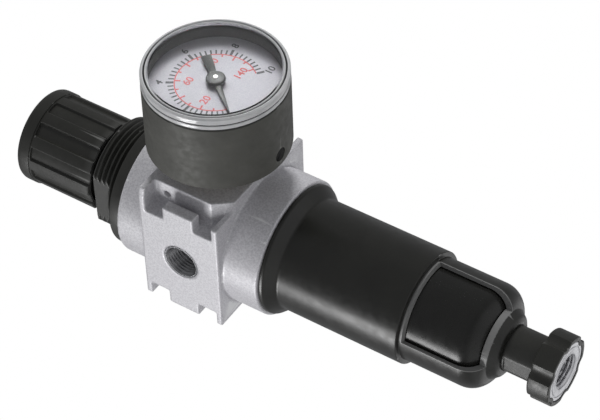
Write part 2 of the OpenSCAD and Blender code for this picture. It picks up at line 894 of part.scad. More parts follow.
// The flat-sided tube, swept from the block at the bottom over the left to the right
module bourdon_section(grow) {
    w = tube_half_t + grow;
    h = tube_half_h + grow;
    translate([tube_r, 0]) union() {
        square([2 * w, 2 * (h - w)], center = true);
        for (side = [-1, 1]) translate([0, side * (h - w)]) circle(r = w, $fn = 32);
    }
}

module bourdon_shape(grow) {
    translate([0, 0, tube_at]) rotate([0, 0, -90 - tube_sweep]) rotate_extrude(angle = tube_sweep)
        bourdon_section(grow);
}

module bourdon_tube() {
    tip_turn = 90 + tube_sweep;
    color([0.78, 0.68, 0.4]) gauge_frame() union() {
        difference() {
            bourdon_shape(0);
            bourdon_shape(-tube_wall);
        }
        // The tip closes the tube and carries the link's pin
        rotate([0, 0, -tip_turn]) {
            block([tube_r - tube_half_t, -tip_len, tube_at - tube_half_h],
                [tube_r + tube_half_t, 0, link_back - 0.1]);
            translate([tip_pin_r, -tip_len / 2, 0]) rod(link_pin_r, link_back - 0.2, link_pin_end);
        }
    }
}

// The plates spread round the two arbors and the two pillars
module plate_outline() {
    arbor_boss_r = 2.4;
    pillar_boss_r = 1.8;
    circle(r = arbor_boss_r, $fn = 48);
    translate([0, -sector_drop]) circle(r = arbor_boss_r, $fn = 48);
    for (place = pillar_places) translate(place) circle(r = pillar_boss_r, $fn = 48);
    polygon([[-2, 1.6], [4.8, 4.4], [2.2, -sector_drop + 1], [-2.2, -sector_drop - 0.8], [-7, -7.6]]);
}

pillar_places = [[-6, -7], [4, 3.5]];

module movement_plates() {
    color([0.8, 0.72, 0.42]) gauge_frame() for (back = [block_front, upper_plate]) difference() {
        translate([0, 0, back]) linear_extrude(plate_t) plate_outline();
        rod(arbor_bore_r, back - cut, back + plate_t + cut);
        translate([0, -sector_drop, 0]) rod(arbor_bore_r, back - cut, back + plate_t + cut);
    }
}

module movement_pillars() {
    color([0.8, 0.72, 0.42]) gauge_frame() for (place = pillar_places) translate(place)
        rod(pillar_r, block_front + plate_t, upper_plate);
}

// One tooth as an outline along X, from below its root to its tip, at a pitch radius
function tooth(r, m, root, slope) = let(half = m * PI / 4 - 0.03 * m)
    [[r - root, -half - root * slope], [r + m * 0.85, -half + m * 0.85 * slope],
        [r + m * 0.85, half - m * 0.85 * slope], [r - root, half + root * slope]];

// The sector's fan as one outline: its teeth start at the mesh point and run to the right, so that
// it can swing left
module sector_fan() {
    step = 360 / sector_teeth;
    one = tooth(sector_r, gear_module, 1.15 * gear_module, 0.42);
    polygon(concat([[0, 0]], [for (i = [10:-1:-1]) for (point = one)
        let(a = 90 + (0.5 - i) * step)
        [point[0] * cos(a) - point[1] * sin(a), point[0] * sin(a) + point[1] * cos(a)]]));
}

module sector_gear() {
    color([0.8, 0.72, 0.42]) gauge_frame() translate([0, -sector_drop, gear_back]) difference() {
        linear_extrude(gear_t) union() {
            sector_fan();
            circle(r = 1.6, $fn = 48);
            rotate([0, 0, -sector_rest]) translate([0.5, -0.7]) square([tail_len - 0.5, 1.4]);
            rotate([0, 0, -sector_rest]) translate([tail_len, 0]) circle(r = 0.9, $fn = 48);
        }
        translate([0, 0, -cut]) cylinder(r = arbor_r, h = gear_t + 2 * cut);
        rotate([0, 0, -sector_rest]) translate([tail_len, 0, -cut])
            cylinder(r = link_pin_r, h = gear_t + 2 * cut);
    }
}

module sector_arbor() {
    color([0.78, 0.78, 0.76]) gauge_frame() {
        translate([0, -sector_drop, 0]) rod(arbor_r, block_front + 0.1, upper_plate + plate_t - 0.1);
        translate([0, -sector_drop, 0]) rotate([0, 0, -sector_rest]) translate([tail_len, 0, 0])
            rod(link_pin_r, gear_back, link_pin_end);
    }
}

module link() {
    tip_angle = -90 - tube_sweep;
    tip = [tip_pin_r * cos(tip_angle) + tip_len / 2 * sin(tip_angle),
        tip_pin_r * sin(tip_angle) - tip_len / 2 * cos(tip_angle)];
    tail = [tail_len * cos(sector_rest), -sector_drop - tail_len * sin(sector_rest)];
    run = tip - tail;
    color([0.75, 0.75, 0.73]) gauge_frame() translate([tail[0], tail[1], link_back])
        rotate([0, 0, atan2(run[1], run[0])]) difference() {
            linear_extrude(link_t) union() {
                translate([0, -link_w / 2]) square([norm(run), link_w]);
                circle(r = 1, $fn = 48);
                translate([norm(run), 0]) circle(r = 1, $fn = 48);
            }
            translate([0, 0, -cut]) cylinder(r = link_hole_r, h = link_t + 2 * cut);
            translate([norm(run), 0, -cut]) cylinder(r = link_hole_r, h = link_t + 2 * cut);
        }
}

module pointer_arbor() {
    step = 360 / pinion_teeth;
    root = pinion_r - 1.15 * gear_module;
    color([0.78, 0.78, 0.76]) gauge_frame() {
        rod(arbor_r, block_front + 0.1, pointer_back + pointer_hub_t + 0.25);
        translate([0, 0, gear_back - 0.3]) linear_extrude(gear_t + 0.6) union() {
            circle(r = root, $fn = 48);
            for (i = [0:pinion_teeth - 1]) rotate([0, 0, -90 + i * step])
                polygon(tooth(pinion_r, gear_module, 1.6 * gear_module, 0.2));
        }
    }
}

module gauge_dial() {
    color([0.93, 0.93, 0.95]) gauge_frame() ring(dial_r, 1.4, dial_back, dial_back + dial_t);
}

module gauge_pointer() {
    tip_w = 0.5;
    root_w = 1.9;
    tail_w = 2.6;
    color([0.1, 0.1, 0.1]) gauge_frame() translate([0, 0, pointer_back]) difference() {
        union() {
            cylinder(r = pointer_hub_r, h = pointer_hub_t);
            rotate([0, 0, pointer_rest]) linear_extrude(pointer_t)
                polygon([[0, -root_w / 2], [pointer_len, -tip_w / 2], [pointer_len, tip_w / 2],
                    [0, root_w / 2], [-pointer_tail, tail_w / 2], [-pointer_tail, -tail_w / 2]]);
        }
        translate([0, 0, -cut]) cylinder(r = arbor_r, h = pointer_hub_t + 2 * cut);
    }
}

module gauge_lens() {
    skirt_back = dial_back + dial_t + 0.2;
    color([0.9, 0.94, 0.96, 0.4]) gauge_frame() turned(concat(
        [[0, lens_back], [lens_bore_r, lens_back], [lens_bore_r, skirt_back], [lens_skirt_r, skirt_back],
            [lens_skirt_r, case_front], [gauge_r, case_front]],
        arc(gauge_r - lens_edge_round, gauge_front - lens_edge_round, lens_edge_round, 0, 90),
        [[0, gauge_front]]));
}

body();
bonnet();
knob();
adjusting_screw();
spring_seat_nut();
control_spring();
diaphragm();
diaphragm_plate();
diaphragm_hub();
valve_seat();
valve_pin();
valve_plug();
valve_seal();
valve_spring();
valve_guide();
baffle();
filter_element();
filter_retainer();
filter_stud();
filter_nut();
bowl_seal();
inner_bowl();
bowl_guard();
drain_neck();
drain_locknut();
drain_pin();
drain_seal();
drain_knob();
drain_insert();
gauge_seal();
gauge_socket();
gauge_case();
gauge_vent_plug();
bourdon_tube();
movement_plates();
movement_pillars();
sector_gear();
sector_arbor();
link();
pointer_arbor();
gauge_dial();
gauge_pointer();
gauge_lens();
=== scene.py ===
"""Looks of the filter regulator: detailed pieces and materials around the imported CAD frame."""

import math

import bmesh
import bpy
from mathutils import Matrix, Vector


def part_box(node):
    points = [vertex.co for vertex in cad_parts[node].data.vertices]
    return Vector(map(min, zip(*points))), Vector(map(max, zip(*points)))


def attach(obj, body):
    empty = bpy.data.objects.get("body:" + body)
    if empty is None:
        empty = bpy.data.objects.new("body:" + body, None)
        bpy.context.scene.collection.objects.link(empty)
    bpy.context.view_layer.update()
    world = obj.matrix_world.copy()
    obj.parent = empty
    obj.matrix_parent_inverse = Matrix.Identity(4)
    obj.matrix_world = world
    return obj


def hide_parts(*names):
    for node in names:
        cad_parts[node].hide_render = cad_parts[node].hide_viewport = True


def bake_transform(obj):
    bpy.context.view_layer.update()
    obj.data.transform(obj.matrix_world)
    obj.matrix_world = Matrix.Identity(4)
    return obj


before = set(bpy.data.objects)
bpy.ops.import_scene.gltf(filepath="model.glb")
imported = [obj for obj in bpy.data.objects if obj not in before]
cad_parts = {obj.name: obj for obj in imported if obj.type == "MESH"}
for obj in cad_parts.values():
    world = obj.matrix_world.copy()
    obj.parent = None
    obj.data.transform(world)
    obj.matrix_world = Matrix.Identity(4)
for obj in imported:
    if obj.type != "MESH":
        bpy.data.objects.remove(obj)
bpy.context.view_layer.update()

MM = 0.001
TURN = 2 * math.pi
GAUGE_AXIS_Z = (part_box("gauge_case")[0].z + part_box("gauge_case")[1].z) / 2 / MM
UPRIGHT = Matrix.Identity(4)
# The gauge's own frame: its third axis runs out of the dial, which looks along -Y
GAUGE = Matrix(((1, 0, 0, 0), (0, 0, -1, 0), (0, 1, 0, GAUGE_AXIS_Z), (0, 0, 0, 1)))


# ---- sizes read from the frame, in millimetres ----

def along_z(node):
    """Lowest height, highest height and radius of a node turned about the main axis."""
    low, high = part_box(node)
    return low.z / MM, high.z / MM, (high.x - low.x) / 2 / MM


def along_gauge(node):
    """Nearest and furthest reach and the radius of a node turned about the gauge's axis."""
    low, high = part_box(node)
    return -high.y / MM, -low.y / MM, (high.x - low.x) / 2 / MM


# ---- mesh building ----

def fillet(before, corner, after, radius, steps=5):
    """Points that round a corner of an outline."""
    a, b = Vector(before) - Vector(corner), Vector(after) - Vector(corner)
    reach = radius / math.tan(a.angle(b) / 2)
    reach = min(reach, 0.49 * a.length, 0.49 * b.length)
    start, end = Vector(corner) + a.normalized() * reach, Vector(corner) + b.normalized() * reach
    points = []
    for i in range(steps + 1):
        t = i / steps
        points.append(start * (1 - t) ** 2 + Vector(corner) * 2 * t * (1 - t) + end * t ** 2)
    return points


def rounded(outline, closed=True):
    """An outline of (radius, height) or (radius, height, fillet) with its corners rounded."""
    points, count = [], len(outline)
    for i, corner in enumerate(outline):
        at_end = not closed and i in (0, count - 1)
        if len(corner) < 3 or at_end:
            points.append(Vector(corner[:2]))
            continue
        before, after = outline[i - 1][:2], outline[(i + 1) % count][:2]
        points += fillet(before, corner[:2], after, corner[2])
    return [(p[0], p[1]) for p in points]


def placed(name, data):
    """A new object in the scene."""
    thing = bpy.data.objects.new(name, data)
    bpy.context.scene.collection.objects.link(thing)
    return thing


def dressed(name, mesh, material, replaces, sharp):
    """Makes a shown piece of a mesh in millimetres."""
    mesh.transform(Matrix.Scale(MM, 4))
    mesh.materials.append(material)
    if sharp:
        mesh.shade_smooth()
        mesh.set_sharp_from_angle(angle=math.radians(sharp))
    piece = placed(name, mesh)
    if replaces:
        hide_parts(*replaces)
    return piece


def finish_mesh(name, mesh, material, body, replaces=(), sharp=32):
    """A shown piece that rides on one body."""
    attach(dressed(name, mesh, material, replaces, sharp), body)


def to_mesh(name, bm, place=UPRIGHT):
    """Turns a bmesh into a mesh whose faces look outwards."""
    bmesh.ops.recalc_face_normals(bm, faces=bm.faces)
    mesh = bpy.data.meshes.new(name)
    bm.to_mesh(mesh)
    bm.free()
    mesh.transform(place)
    return mesh


def lathe_mesh(name, outline, closed=True, segments=160, shape=None, place=UPRIGHT):
    """A mesh turned from an outline. shape(radius, height, angle) may move a point's radius."""
    bm = bmesh.new()
    rings = []
    for radius, height in outline:
        if radius < 1e-6:
            rings.append([bm.verts.new((0, 0, height))] * segments)
            continue
        ring = []
        for i in range(segments):
            angle = TURN * i / segments
            r = shape(radius, height, angle) if shape else radius
            ring.append(bm.verts.new((r * math.cos(angle), r * math.sin(angle), height)))
        rings.append(ring)
    pairs = list(zip(rings, rings[1:]))
    if closed:
        pairs.append((rings[-1], rings[0]))
    for low, high in pairs:
        for i in range(segments):
            j = (i + 1) % segments
            corners = list(dict.fromkeys((low[i], low[j], high[j], high[i])))
            if len(corners) > 2:
                bm.faces.new(corners)
    return to_mesh(name, bm, place)


def prism_mesh(name, outline, low, high, place=UPRIGHT, bevel=0.0):
    """A flat outline drawn out between two heights, with its edges broken."""
    bm = bmesh.new()
    base, top = ([bm.verts.new((x, y, height)) for x, y in outline] for height in (low, high))
    bm.faces.new(base)
    bm.faces.new(top)
    for i, corner in enumerate(base):
        bm.faces.new((base[i - 1], corner, top[i], top[i - 1]))
    if bevel:
        bmesh.ops.recalc_face_normals(bm, faces=bm.faces)
        bmesh.ops.bevel(bm, geom=bm.edges[:], offset=bevel, segments=2, profile=0.5, affect="EDGES")
    return to_mesh(name, bm, place)


def join_meshes(name, meshes):
    """One mesh out of several."""
    bm = bmesh.new()
    for mesh in meshes:
        bm.from_mesh(mesh)
        bpy.data.meshes.remove(mesh)
    mesh = bpy.data.meshes.new(name)
    bm.to_mesh(mesh)
    bm.free()
    return mesh


def evaluated(mesh, modifiers):
    """The mesh after a list of modifiers, each given as (type, settings)."""
    holder = placed("holder", mesh)
    for kind, settings in modifiers:
        modifier = holder.modifiers.new(kind, kind)
        for key, value in settings.items():
            setattr(modifier, key, value)
    graph = bpy.context.evaluated_depsgraph_get()
    result = bpy.data.meshes.new_from_object(holder.evaluated_get(graph))
    bpy.data.objects.remove(holder)
    return result


def carved(mesh, cutters):
    """The mesh with every cutter mesh taken away from it."""
    tools = [placed("cutter", cutter) for cutter in cutters]
    steps = [("BOOLEAN", {"operation": "DIFFERENCE", "solver": "EXACT", "object": t}) for t in tools]
    result = evaluated(mesh, steps)
    for tool in tools:
        bpy.data.objects.remove(tool)
    return result


def even_normals(mesh, sharp):
    """Shades a cut mesh by the size of its faces, so that slivers beside a cut don't show."""
    mesh.materials.clear()
    mesh.shade_smooth()
    mesh.set_sharp_from_angle(angle=math.radians(sharp))
    return evaluated(mesh, [("WEIGHTED_NORMAL", {"keep_sharp": True, "weight": 100})])


def smoothstep(low, high, value):
    """0 up to low, 1 from high on, and a smooth rise between them."""
    t = min(max((value - low) / (high - low), 0.0), 1.0)
    return t * t * (3 - 2 * t)


# ---- materials ----

class Nodes:
    """A short way to write a material's node tree."""

    def __init__(self, name):
        self.material = bpy.data.materials.new(name)
        self.material.use_nodes = True
        self.tree = self.material.node_tree
        self.shader = self.tree.nodes["Principled BSDF"]
        self.position = self.add("ShaderNodeMapping", {"Scale": (1000, 1000, 1000)})
        coordinates = self.add("ShaderNodeTexCoord")
        self.link(coordinates.outputs["Object"], self.position.inputs["Vector"])

    def add(self, kind, inputs=None, **settings):
        node = self.tree.nodes.new(kind)
        for key, value in settings.items():
            setattr(node, key, value)
        for key, value in (inputs or {}).items():
            node.inputs[key].default_value = value
        return node

    def link(self, source, target):
        self.tree.links.new(source, target)

    def noise(self, scale, detail=3.0, rough=0.55):
        """Noise with a scale in features per millimetre."""
        node = self.add("ShaderNodeTexNoise", {"Scale": scale, "Detail": detail, "Roughness": rough})
        self.link(self.position.outputs["Vector"], node.inputs["Vector"])
        return node.outputs["Fac"]

    def remap(self, value, low, high, from_low=0.35, from_high=0.65):
        """Spreads a value, by default the middle of a noise, over low to high."""
        node = self.add("ShaderNodeMapRange", {"From Min": from_low, "From Max": from_high,
                                               "To Min": low, "To Max": high})
        self.link(value, node.inputs["Value"])
        return node.outputs["Result"]

    def mix(self, factor, first, second):
        """A mix of two colours, each a plain colour or another node's output."""
        node = self.add("ShaderNodeMix", data_type="RGBA")
        self.link(factor, node.inputs["Factor"])
        for value, socket in ((first, node.inputs["A"]), (second, node.inputs["B"])):
            if isinstance(value, bpy.types.NodeSocket):
                self.link(value, socket)
            else:
                socket.default_value = (*value, 1)
        return node.outputs["Result"]

    def bump(self, height, depth, normal=None):
        """A bump of a depth in millimetres."""
        node = self.add("ShaderNodeBump", {"Strength": 1.0, "Distance": depth * MM})
        self.link(height, node.inputs["Height"])
        if normal is not None:
            self.link(normal, node.inputs["Normal"])
        return node.outputs["Normal"]

    def edge_wear(self):
        """1 on sharp outer edges, 0 elsewhere."""
        geometry = self.add("ShaderNodeNewGeometry")
        return self.remap(geometry.outputs["Pointiness"], 0.0, 1.0, 0.53, 0.62)


def shade(value, factor):
    """A colour made darker or lighter."""
    return tuple(min(1.0, c * factor) for c in value)


def moulded(name, colour, roughness, grain=2.5, grain_depth=0.02, wear_and_highlight=0.25, metallic=0.0, specular=0.5,
            rubbed_and_highlight=0.03):
    """A moulded, cast or plated surface: fine grain, uneven sheen, patchy tone, and lighter edges that are
    partly wear and partly a painted highlight.
    """
    n, spread = Nodes(name), 0.12
    fine, broad = n.noise(grain), n.noise(0.12, 4.0)
    toned = n.mix(n.remap(broad, 0, 1), shade(colour, 1 - spread), shade(colour, 1 + spread))
    # Sharp edges are mixed toward a lighter colour: partly wear, partly a painted highlight of edges
    # catching light
    edge_lightened = n.mix(n.edge_wear(), toned, shade(tuple(c + rubbed_and_highlight for c in colour), 1 + wear_and_highlight * 2))
    n.link(edge_lightened, n.shader.inputs["Base Color"])
    n.link(n.remap(n.noise(0.5, 5.0), roughness * 0.85, roughness * 1.15), n.shader.inputs["Roughness"])
    n.link(n.bump(fine, grain_depth), n.shader.inputs["Normal"])
    n.shader.inputs["Metallic"].default_value = metallic
    n.shader.inputs["Specular IOR Level"].default_value = specular
    return n.material


def cast_paint():
    """Light grey coated casting with a fine two-tone speckle."""
    n = Nodes("cast_paint")
    speck, fleck = n.noise(1.9, 2.0, 0.7), n.noise(4.5, 2.0, 0.8)
    base = n.mix(n.remap(speck, 0, 1, 0.4, 0.6), (0.50, 0.495, 0.52), (0.66, 0.655, 0.68))
    light = n.mix(n.remap(fleck, 0, 0.6, 0.5, 0.75), base, (0.72, 0.715, 0.73))
    toned = n.mix(n.remap(n.noise(0.08, 3.0), 0, 0.22), light, (0.56, 0.54, 0.58))
    edge_lightened = n.mix(n.edge_wear(), toned, (0.78, 0.78, 0.79))
    n.link(edge_lightened, n.shader.inputs["Base Color"])
    n.link(n.remap(n.noise(1.2, 4.0), 0.36, 0.52), n.shader.inputs["Roughness"])
    n.link(n.bump(fleck, 0.014, n.bump(n.noise(0.6, 3.0), 0.03)), n.shader.inputs["Normal"])
    n.shader.inputs["Metallic"].default_value = 0.15
    return n.material


def turned_metal(name, colour, roughness, axis="Z"):
    """Metal with fine rings left by a lathe tool."""
    n, ring_depth = Nodes(name), 0.004
    rings = n.add("ShaderNodeTexWave", {"Scale": 1.6, "Distortion": 0.4, "Detail": 2.0},
                  wave_type="RINGS", rings_direction=axis)
    n.link(n.position.outputs["Vector"], rings.inputs["Vector"])
    tone = n.mix(n.remap(n.noise(0.3, 4.0), 0, 1), shade(colour, 0.82), shade(colour, 1.1))
    n.link(tone, n.shader.inputs["Base Color"])
    n.link(n.remap(n.noise(2.0, 3.0), roughness * 0.7, roughness * 1.3), n.shader.inputs["Roughness"])
    n.link(n.bump(rings.outputs["Fac"], ring_depth), n.shader.inputs["Normal"])
    n.shader.inputs["Metallic"].default_value = 1.0
    return n.material


def clear_plastic():
    """Clear plastic that lets lamps through to the dial."""
    n = Nodes("clear_plastic")
    n.shader.inputs["Base Color"].default_value = (0.985, 0.99, 0.99, 1)
    n.shader.inputs["Transmission Weight"].default_value = 1.0
    n.shader.inputs["IOR"].default_value = 1.46
    n.shader.inputs["Roughness"].default_value = 0.02
    n.link(n.bump(n.noise(0.12, 2.0), 0.004), n.shader.inputs["Normal"])
    see = n.add("ShaderNodeBsdfTransparent", {"Color": (0.97, 0.975, 0.98, 1)})
    path = n.add("ShaderNodeLightPath")
    blend = n.add("ShaderNodeMixShader")
    n.link(path.outputs["Is Shadow Ray"], blend.inputs["Fac"])
    n.link(n.shader.outputs["BSDF"], blend.inputs[1])
    n.link(see.outputs["BSDF"], blend.inputs[2])
    n.link(blend.outputs["Shader"], n.tree.nodes["Material Output"].inputs["Surface"])
    return n.material


def milky_plastic():
    """The lens's thick moulded rim in an opaque pale colour: a painted glow for the light that the clear
    plastic catches, which makes it look white.
    """
    n = Nodes("milky_plastic")
    tone = n.mix(n.remap(n.noise(0.4, 3.0), 0, 1), (0.80, 0.81, 0.82), (0.90, 0.90, 0.91))
    n.link(tone, n.shader.inputs["Base Color"])
    n.link(n.remap(n.noise(1.5), 0.06, 0.14), n.shader.inputs["Roughness"])
    n.link(n.bump(n.noise(0.8), 0.006), n.shader.inputs["Normal"])
    n.shader.inputs["Transmission Weight"].default_value = 0.35
    n.shader.inputs["IOR"].default_value = 1.46
    return n.material


def printed(name, colour):
    """Ink or card, with the slight unevenness of printing."""
    n, roughness = Nodes(name), 0.45
    tone = n.mix(n.remap(n.noise(3.0, 3.0), 0, 1), shade(colour, 0.93), shade(colour, 1.05))
    n.link(tone, n.shader.inputs["Base Color"])
    n.link(n.remap(n.noise(0.8), roughness * 0.9, roughness * 1.1), n.shader.inputs["Roughness"])
    n.link(n.bump(n.noise(5.0), 0.005), n.shader.inputs["Normal"])
    return n.material


CAST = cast_paint()
# The lighter edges of the bonnet, knob and guard are partly wear and partly a painted highlight on thread
# crests, rib edges and window rims
BONNET = moulded("bonnet_resin", (0.024, 0.024, 0.021), 0.42, wear_and_highlight=0.5, rubbed_and_highlight=0.06)
KNOB = moulded("knob_resin", (0.020, 0.020, 0.017), 0.42, grain=3.5, wear_and_highlight=0.4, rubbed_and_highlight=0.07)
GUARD = moulded("guard_gloss", (0.012, 0.012, 0.010), 0.33, grain=1.6, grain_depth=0.008, wear_and_highlight=0.3,
                rubbed_and_highlight=0.11)
BOWL = moulded("bowl_gloss", (0.011, 0.011, 0.010), 0.28, grain=0.5, grain_depth=0.004, specular=0.4)
CASE = moulded("gauge_case_resin", (0.080, 0.080, 0.072), 0.6, grain=3.0, grain_depth=0.01, wear_and_highlight=0.3,
               specular=0.3)
VENT = moulded("vent_rubber", (0.004, 0.004, 0.004), 0.9, wear_and_highlight=0.0, specular=0.1)
RUBBER = moulded("nitrile_rubber", (0.018, 0.018, 0.018), 0.7, grain=4.0, wear_and_highlight=0.1)
RESIN = moulded("plain_resin", (0.05, 0.05, 0.05), 0.5)
PALE_RESIN = moulded("pale_resin", (0.72, 0.71, 0.66), 0.5)
FILTER = moulded("sintered_filter", (0.80, 0.78, 0.70), 0.85, grain=2.2, grain_depth=0.12)
ZINC = moulded("zinc_plate", (0.62, 0.62, 0.58), 0.3, metallic=1.0, wear_and_highlight=0.1)
SPRING = moulded("spring_steel", (0.42, 0.42, 0.44), 0.3, metallic=1.0, wear_and_highlight=0.1)
BRASS = turned_metal("turned_brass", (0.72, 0.55, 0.27), 0.28)
INSERT = turned_metal("turned_insert", (0.66, 0.66, 0.68), 0.34)
LENS = clear_plastic()
# The lens rim's pale colour is a painted glow
RIM = milky_plastic()
# Dark rings in the gauge's lens rim: painted shade, and a dark seam at the case
SHADE_AND_SEAM = moulded("lens_shade_and_seam", (0.010, 0.010, 0.010), 0.6, wear_and_highlight=0.0, specular=0.2)
DIAL = printed("dial_card", (0.32, 0.31, 0.34))
INK_BLACK = printed("black_ink", (0.02, 0.02, 0.022))
INK_RED = printed("red_ink", (0.42, 0.035, 0.035))
# A darker metal than the insert, as painted shade deep inside the ports
THREAD = turned_metal("tapped_metal_darkened", (0.30, 0.30, 0.31), 0.35, axis="X")
NEEDLE = moulded("needle_paint", (0.014, 0.016, 0.014), 0.35, grain=4.0, grain_depth=0.006)


# ---- body ----

PORT_THREAD_R = 4.86
PORT_CREST_R = 4.2
PORT_MOUTH_R = 5.25
PORT_THREAD_LENGTH = 8.4
THREAD_PITCH = 0.907


def port_place(side):
    """The frame of a port, its third axis running out through the port's mouth."""
    return Matrix.Translation((0, 0, GAUGE_AXIS_Z)) @ Matrix.Rotation(side * TURN / 4, 4, "Y")


def body_casting():
    """The casting with softened edges, its ports opened out for their threads."""
    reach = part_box("body")[1].x / MM
    voxel, mouth_depth, port_end = 0.28, 0.5, reach - PORT_THREAD_LENGTH - 0.2
    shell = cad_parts["body"].data.copy()
    shell.transform(Matrix.Scale(1 / MM, 4))
    shell.materials.clear()
    outline = [(0, port_end), (PORT_THREAD_R, port_end), (PORT_THREAD_R, reach - mouth_depth),
               (PORT_MOUTH_R, reach - mouth_depth), (PORT_MOUTH_R, reach + 1), (0, reach + 1)]
    cutters = [lathe_mesh("port_cut", outline, closed=False, segments=64, place=port_place(side))
               for side in (-1, 1)]
    shell = evaluated(shell, [("WELD", {"merge_threshold": 0.001})])
    opened = carved(shell, cutters)
    soft = evaluated(opened, [
        ("REMESH", {"mode": "VOXEL", "voxel_size": voxel}),
        ("SMOOTH", {"iterations": 3, "factor": 0.5}),
        ("DECIMATE", {"ratio": 0.3}),
    ])
    soft.materials.clear()
    finish_mesh("body_casting", soft, CAST, "root", ["body"], sharp=60)


def port_threads():
    """The threaded liners that show inside the two ports, darkened as painted shade deep in the ports, with
    bright chamfers at their mouths.
    """
    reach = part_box("body")[1].x / MM
    rows, start, root_r = 84, reach - 0.1, PORT_THREAD_R - 0.12

    def groove(radius, height, angle):
        if radius > PORT_THREAD_R - 0.1:
            return radius
        phase = (height / THREAD_PITCH - angle / TURN) % 1
        mouth = smoothstep(reach - 0.9, start, height)
        wave = abs(phase * 2 - 1)
        return PORT_CREST_R + (root_r - PORT_CREST_R) * max(wave, mouth)

    wall = [(PORT_CREST_R, start - PORT_THREAD_LENGTH * i / rows) for i in range(rows + 1)]
    outline = wall + [(PORT_THREAD_R, wall[-1][1]), (PORT_THREAD_R, start)]
    sunk_r = PORT_MOUTH_R + 0.1
    chamfer = [(PORT_THREAD_R, reach - 0.45), (sunk_r, reach - 0.45), (sunk_r, reach - 0.12),
               (PORT_MOUTH_R - 0.02, reach - 0.02), (PORT_THREAD_R, reach - 0.4)]
    for side, label in ((-1, "inlet"), (1, "outlet")):
        place = port_place(side)
        mouth = lathe_mesh(label + "_mouth", chamfer, segments=96, place=place)
        finish_mesh(label + "_mouth", mouth, INSERT, "root")
        mesh = lathe_mesh(label + "_thread", outline, segments=72, shape=groove, place=place)
        finish_mesh(label + "_thread", mesh, THREAD, "root", sharp=50)


# ---- bonnet and knob ----

NECK_PITCH = 1.5
NECK_THREAD_DEPTH = 0.85
NECK_FLAT = 12.7
NECK_FLAT_LENGTH = 5.4
NECK_HEIGHT = 8.2
NECK_R = 15.0
HUB_R = 10.3


def neck_shape(radius, height, angle):
    """Cuts the screw thread and the flat into the neck."""
    if not (0.05 < height < NECK_HEIGHT + 0.01) or radius < NECK_R - 1.2:
        return radius
    phase = (height / NECK_PITCH - angle / TURN) % 1
    fade = smoothstep(0.3, 1.0, height) * (1 - smoothstep(NECK_HEIGHT - 0.9, NECK_HEIGHT - 0.2, height))
    groove = max(0.0, 1 - abs(phase * 2 - 1) * 1.25)
    radius -= NECK_THREAD_DEPTH * groove * fade
    leftward = -math.cos(angle)
    if height > NECK_HEIGHT - NECK_FLAT_LENGTH and leftward > 0.1:
        radius = min(radius, NECK_FLAT / leftward)
    return radius


def bonnet():
    """The bonnet with its threaded panel neck, which has a flat on the inlet side."""
    low, high, collar_r = along_z("bonnet")
    skirt_r, bore_r, journal_r, collar_low, roof = 16.4, 9.4, 4.1, -3.6, 19
    rows = 82
    neck = [(NECK_R, 0.1 + (NECK_HEIGHT - 0.2) * i / rows) for i in range(rows + 1)]
    outline = rounded([(bore_r, low), (skirt_r, low), (skirt_r, collar_low), (collar_r, collar_low, 0.3),
                       (collar_r, 0, 0.5), (NECK_R + 0.1, 0)])
    outline += neck + rounded([(NECK_R - 0.6, NECK_HEIGHT), (HUB_R, NECK_HEIGHT, 0.2), (HUB_R, high, 0.5),
                               (journal_r, high), (journal_r, roof), (bore_r, roof)])
    mesh = lathe_mesh("bonnet_moulding", outline, segments=256, shape=neck_shape)
    finish_mesh("bonnet_moulding", mesh, BONNET, "root", ["bonnet"], sharp=40)


PANELS = 11
PANEL_ANGLE = math.radians(17)
PANEL_START = math.radians(-90 - 4.5)
PANEL_DEPTH = 0.75
PANEL_TOP = 30.1
PANEL_EDGE = 0.018
GRIP_R = 12.9


def knob_shape(radius, height, angle):
    """Sinks the grip panels between the ribs."""
    if radius < GRIP_R - 0.4 or height > PANEL_TOP + 0.2:
        return radius
    pitch = TURN / PANELS
    offset = abs((angle - PANEL_START + pitch / 2) % pitch - pitch / 2)
    side = 1 - smoothstep(PANEL_ANGLE / 2 - PANEL_EDGE, PANEL_ANGLE / 2 + PANEL_EDGE, offset)
    end = 1 - smoothstep(PANEL_TOP - 0.35, PANEL_TOP + 0.05, height)
    return radius - PANEL_DEPTH * side * end


def knob():
    """The knob: a ribbed grip under a smooth rim, with a shallow dish in its top."""
    low, high, rim_r = along_z("knob")
    bore_r, socket_r, web, rim_low = 11.3, 5.8, 24.4, 30.4
    # Rows crowd together at the top, where the panels end
    shares = [0, 0.25, 0.5, 0.75, 0.9, 0.96] + [0.965 + 0.035 * i / 8 for i in range(9)]
    side = [(GRIP_R, low + 0.25 + (rim_low - low - 0.3) * share) for share in shares]
    outline = rounded([(bore_r, low), (GRIP_R - 0.2, low)])
    outline += side
    outline += rounded([(GRIP_R, rim_low), (rim_r, rim_low, 0.25), (rim_r, high, 1.3), (9.6, high, 0.2),
                        (9.1, high - 0.35, 0.2), (8.6, high - 0.35), (6, high - 0.3), (3, high - 0.25),
                        (0, high - 0.2)], closed=False)[1:]
    outline += [(0, high - 2.4), (socket_r, high - 2.4), (socket_r, web), (bore_r, web)]
    mesh = lathe_mesh("knob_cap", outline, segments=PANELS * 40, shape=knob_shape)
    finish_mesh("knob_cap", mesh, KNOB, "knob_body", ["knob"], sharp=38)


# ---- springs ----

